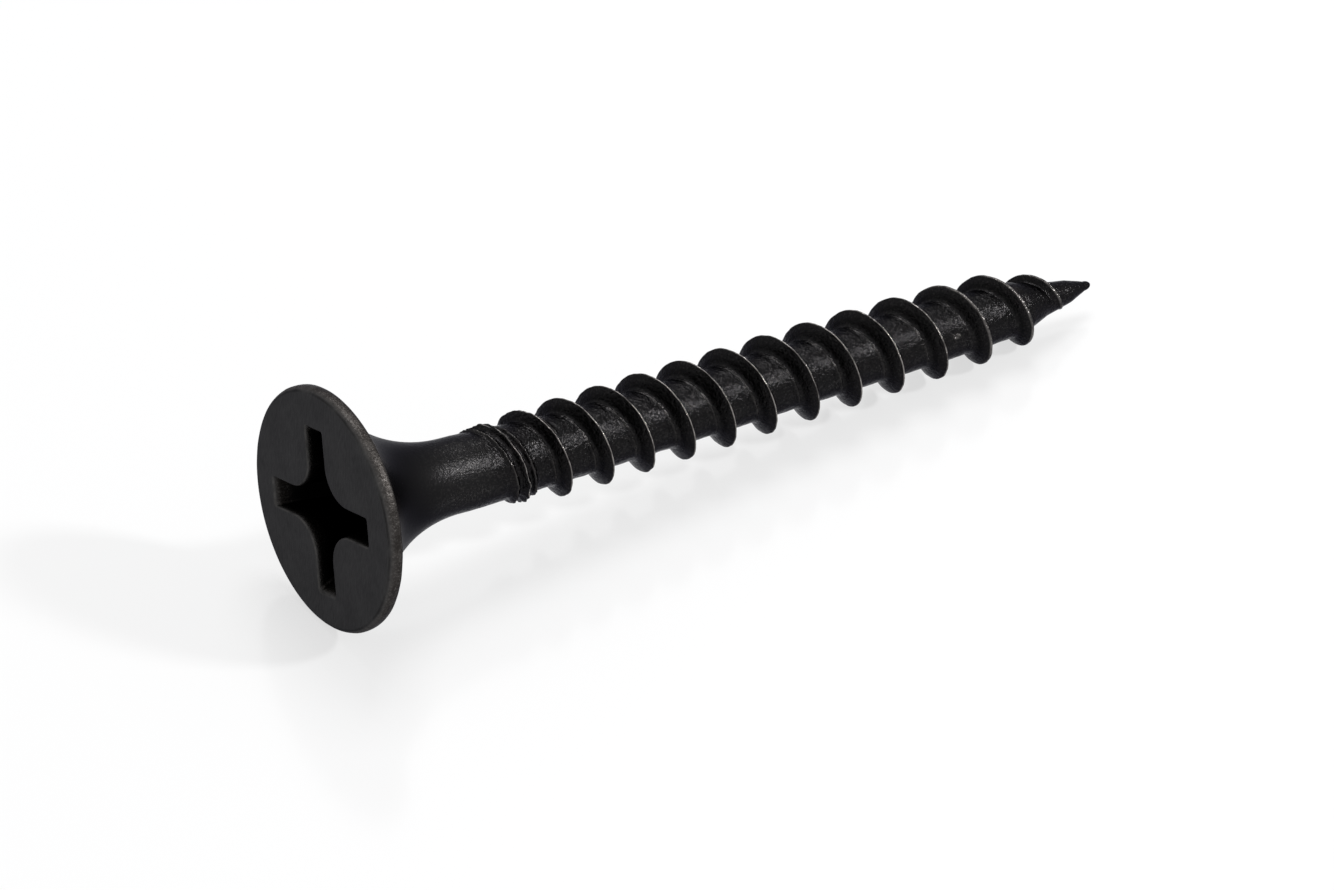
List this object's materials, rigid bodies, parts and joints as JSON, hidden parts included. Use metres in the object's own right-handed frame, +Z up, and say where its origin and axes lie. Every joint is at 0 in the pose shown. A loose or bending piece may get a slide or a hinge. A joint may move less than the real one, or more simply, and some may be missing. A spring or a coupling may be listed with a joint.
{
  "type": "drywall screw",
  "caption": "Black phosphated steel screw with a bugle head, cross recess, smooth neck, coarse right-hand thread and sharp point, for fixing plasterboard to timber.",
  "frame": {"origin": "centre of the screw's bounding box in plan, on the ground it lies on", "axes": "+X along the screw from head to point in plan, +Z up, +Y by the right-hand rule; the screw lies on the rim of its head and on the thread near its point, so its own axis dips about 6 degrees below +X"},
  "size_m": [0.032, 0.0084, 0.0085],
  "materials": {
    "phosphated_steel": "matte black phosphate, slightly rough and speckled, worn to a duller grey-brown on the rim"
  },
  "bodies": {
    "root": {"drywall_screw": "phosphated_steel"}
  },
  "joints": []
}
